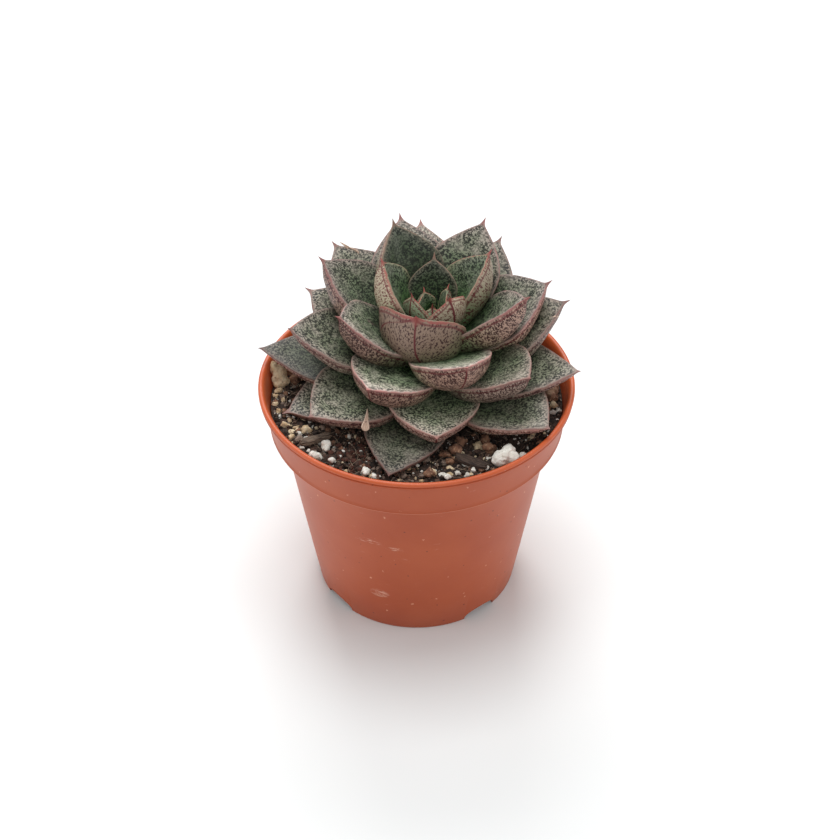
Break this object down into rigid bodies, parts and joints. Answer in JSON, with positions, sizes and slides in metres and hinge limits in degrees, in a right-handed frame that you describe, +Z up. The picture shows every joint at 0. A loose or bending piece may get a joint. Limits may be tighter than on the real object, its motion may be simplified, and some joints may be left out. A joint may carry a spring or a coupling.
{
  "type": "potted succulent",
  "caption": "Rosette succulent with thick, pointed, speckled grey-green leaves, growing in a small round terracotta-coloured nursery pot with a collar and foot notches.",
  "frame": {"origin": "on the surface that the pot stands on, under the middle of the whole plant and pot", "axes": "+Z up; -Y towards the front that the picture shows, the way the rosette leans; +X to the right seen from the front"},
  "size_m": [0.0855, 0.0932, 0.1018],
  "materials": {
    "pot_plastic": "satin",
    "potting_soil": "matte",
    "stem": "matte",
    "outer_leaf": "satin",
    "inner_leaf": "satin",
    "cream_pumice": "matte",
    "brown_rock": "matte",
    "white_perlite": "matte",
    "bark": "matte"
  },
  "bodies": {
    "root": {"pot": "pot_plastic", "soil": "potting_soil", "stem": "stem", "leaf_01": "inner_leaf", "leaf_02": "inner_leaf", "leaf_03": "inner_leaf", "leaf_04": "inner_leaf", "leaf_05": "inner_leaf", "leaf_06": "inner_leaf", "leaf_07": "inner_leaf", "leaf_08": "inner_leaf", "leaf_09": "outer_leaf", "leaf_10": "outer_leaf", "leaf_11": "outer_leaf", "leaf_12": "outer_leaf", "leaf_13": "outer_leaf", "leaf_14": "outer_leaf", "leaf_15": "outer_leaf", "leaf_16": "outer_leaf", "leaf_17": "outer_leaf", "leaf_18": "outer_leaf", "leaf_19": "outer_leaf", "leaf_20": "outer_leaf", "leaf_21": "outer_leaf", "leaf_22": "outer_leaf", "leaf_23": "outer_leaf", "leaf_24": "outer_leaf", "leaf_25": "outer_leaf", "leaf_26": "outer_leaf", "leaf_27": "outer_leaf", "leaf_28": "outer_leaf", "leaf_29": "outer_leaf", "leaf_30": "outer_leaf", "leaf_31": "outer_leaf", "leaf_32": "outer_leaf", "leaf_33": "outer_leaf", "leaf_34": "outer_leaf", "leaf_35": "outer_leaf", "pumice_left": "cream_pumice", "pumice_front": "cream_pumice", "pumice_right": "cream_pumice", "pumice_edge": "cream_pumice", "rock_middle": "brown_rock", "rock_right": "brown_rock", "perlite_large": "white_perlite", "perlite_right": "white_perlite", "perlite_left": "white_perlite", "perlite_left_low": "white_perlite", "perlite_front_1": "white_perlite", "perlite_front_2": "white_perlite", "perlite_front_3": "white_perlite", "perlite_front_4": "white_perlite", "perlite_front_5": "white_perlite", "bark_left": "bark", "bark_right": "bark"}
  },
  "joints": []
}
